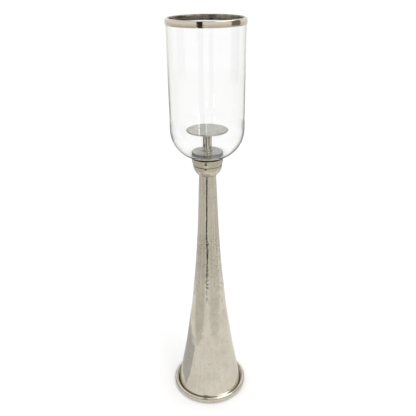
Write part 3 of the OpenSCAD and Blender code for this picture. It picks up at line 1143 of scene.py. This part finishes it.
def make_floor(settings):
    """A pale paper floor, wide enough to fill every view."""
    half = 40
    corners = [(-half, -half, 0), (half, -half, 0), (half, half, 0), (-half, half, 0)]
    floor = mesh_object("floor", corners, [(0, 1, 2, 3)])
    shade = Shade("floor_paper")
    grain = shade.noise(140, detail=3)
    pale = tuple(settings.floor_colour)
    tone = shade.blend(shade.span(grain, 0.3, 0.7), pale, darker(pale, 0.985))
    paper = shade.surface(base_color=tone, roughness=0.9, specular_ior_level=0.1)
    floor.data.materials.append(paper)


def make_world(settings):
    """Even white light, except that mirrors see a warmer, dimmer room."""
    world = bpy.data.worlds.new("studio")
    world.use_nodes = True
    tree = world.node_tree
    tree.nodes.clear()
    sky = add_node(tree, "Background", WHITE, settings.sky).outputs[0]
    place = add_node(tree, "TexCoord").outputs["Generated"]
    height = add_node(tree, "SeparateXYZ", place).outputs["Z"]
    ramp = add_node(tree, "ValToRGB", height)
    low, high = ramp.color_ramp.elements
    low.color = (1.0, 0.985, 0.96, 1)
    high.position = 0.9
    high.color = (0.84, 0.82, 0.78, 1)
    room = add_node(tree, "Background", ramp.outputs["Color"], settings.room).outputs[0]
    mix = add_node(tree, "MixShader", glossy_only(tree), sky, room)
    add_node(tree, "OutputWorld", mix.outputs[0])
    bpy.context.scene.world = world


def stand(name, data, place, facing):
    """Stands a lamp or a camera at a place, looking along facing."""
    thing = bpy.data.objects.new(name, data)
    thing.location = place
    thing.rotation_mode = "QUATERNION"
    thing.rotation_quaternion = Vector(facing).to_track_quat("-Z", "Y")
    bpy.context.scene.collection.objects.link(thing)
    return thing


def make_lamp(name, place, aim, size, power):
    """A large soft lamp that isn't seen itself."""
    data = bpy.data.lights.new(name, "AREA")
    data.shape = "DISK"
    data.size = size
    data.energy = power
    lamp = stand(name, data, place, Vector(aim) - Vector(place))
    lamp.visible_camera = False


def make_camera(settings):
    data = bpy.data.cameras.new("camera")
    data.sensor_width = 36
    data.lens = settings.lens
    data.clip_start = 0.01
    data.clip_end = 100
    pitch = settings.camera_pitch
    place = (0, -settings.camera_distance, settings.camera_height)
    camera = stand("camera", data, place, (0, math.cos(pitch), -math.sin(pitch)))
    camera.rotation_quaternion @= Quaternion((0, 0, 1), settings.camera_roll)
    bpy.context.scene.camera = camera


class LANTERN_OT_stage(bpy.types.Operator):
    """Sets up the floor, the light and the camera"""

    bl_idname = "lantern.stage"
    bl_label = "Stage"

    def execute(self, context):
        settings = context.scene.lantern_stage
        make_camera(settings)
        make_floor(settings)
        make_world(settings)
        make_lamp("key_lamp", place=(1.2, -1.6, 2.4), aim=(0, 0, 0.4), size=0.9, power=9)
        for card in CARDS:
            mirror_card(*card)
        scene = context.scene
        scene.view_settings.view_transform = "Standard"
        scene.view_settings.look = "None"
        return {"FINISHED"}


OPERATORS = (
    LANTERN_OT_stage,
    LANTERN_OT_foot,
    LANTERN_OT_column,
    LANTERN_OT_collar,
    LANTERN_OT_fasteners,
    LANTERN_OT_glass,
    LANTERN_OT_rim,
    LANTERN_OT_gaskets,
    LANTERN_OT_clamp_disc,
    LANTERN_OT_candle_holder,
)


class LANTERN_PT_panel(bpy.types.Panel):
    """Lists the lantern's pieces and settings"""

    bl_idname = "LANTERN_PT_panel"
    bl_label = "Hurricane candle lantern"
    bl_space_type = "VIEW_3D"
    bl_region_type = "UI"
    bl_category = "Lantern"

    def draw(self, context):
        layout = self.layout
        for group, kind in GROUPS.items():
            box = layout.box()
            for name in kind.__annotations__:
                box.prop(getattr(context.scene, group), name)
        for operator in OPERATORS:
            layout.operator(operator.bl_idname)


def register():
    for kind in (*GROUPS.values(), *OPERATORS, LANTERN_PT_panel):
        bpy.utils.register_class(kind)
    for group, kind in GROUPS.items():
        setattr(bpy.types.Scene, group, bpy.props.PointerProperty(type=kind))


def unregister():
    for group in GROUPS:
        delattr(bpy.types.Scene, group)
    for kind in (LANTERN_PT_panel, *reversed(OPERATORS), *reversed(GROUPS.values())):
        bpy.utils.unregister_class(kind)


def main():
    register()
    for operator in OPERATORS:
        getattr(bpy.ops.lantern, operator.bl_idname.split(".")[1])()


if __name__ == "__main__":
    main()
